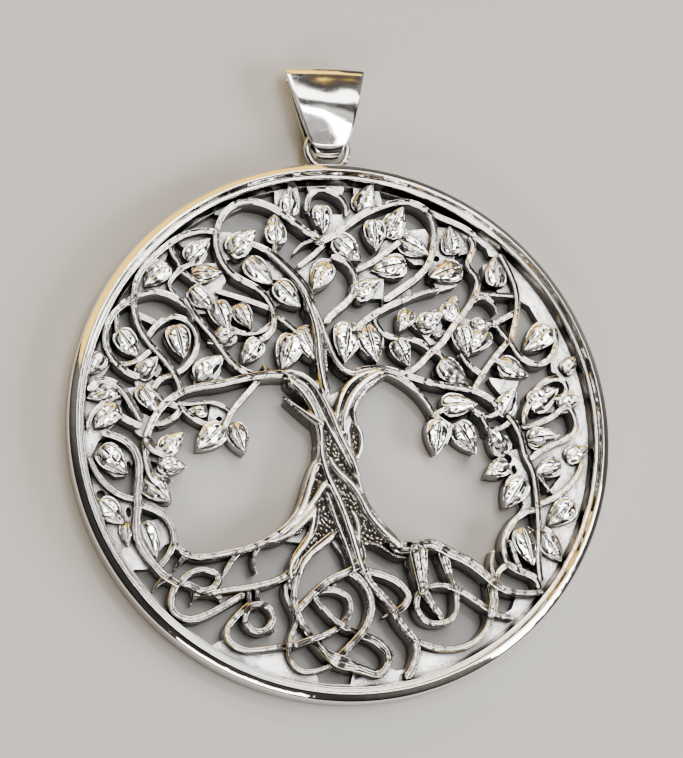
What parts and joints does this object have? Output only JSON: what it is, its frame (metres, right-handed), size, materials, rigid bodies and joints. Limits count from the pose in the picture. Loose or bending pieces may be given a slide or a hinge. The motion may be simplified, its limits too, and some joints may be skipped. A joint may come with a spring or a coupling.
{
  "type": "tree of life pendant",
  "caption": "Round openwork silver pendant with a leafy tree, knotted roots, a plain rim band and a folded swinging bail.",
  "frame": {"origin": "centre of the disc, on its flat back, which lies on the surface", "axes": "+Z out of the face of the pendant, +Y toward the bail, +X to the right of the tree"},
  "size_m": [0.045, 0.0541, 0.003],
  "materials": {
    "cast_silver": "polished cast sterling silver",
    "sheet_silver": "mirror polished sheet silver"
  },
  "bodies": {
    "medallion": {"medallion": "cast_silver"},
    "bail": {"bail": "sheet_silver"}
  },
  "joints": [
    {"name": "bail_swing", "type": "hinge", "parent": "medallion", "child": "bail", "pos_m": [0, 0.025, 0.0015], "axis": [1, 0, 0], "range_deg": [-10, 25]}
  ]
}
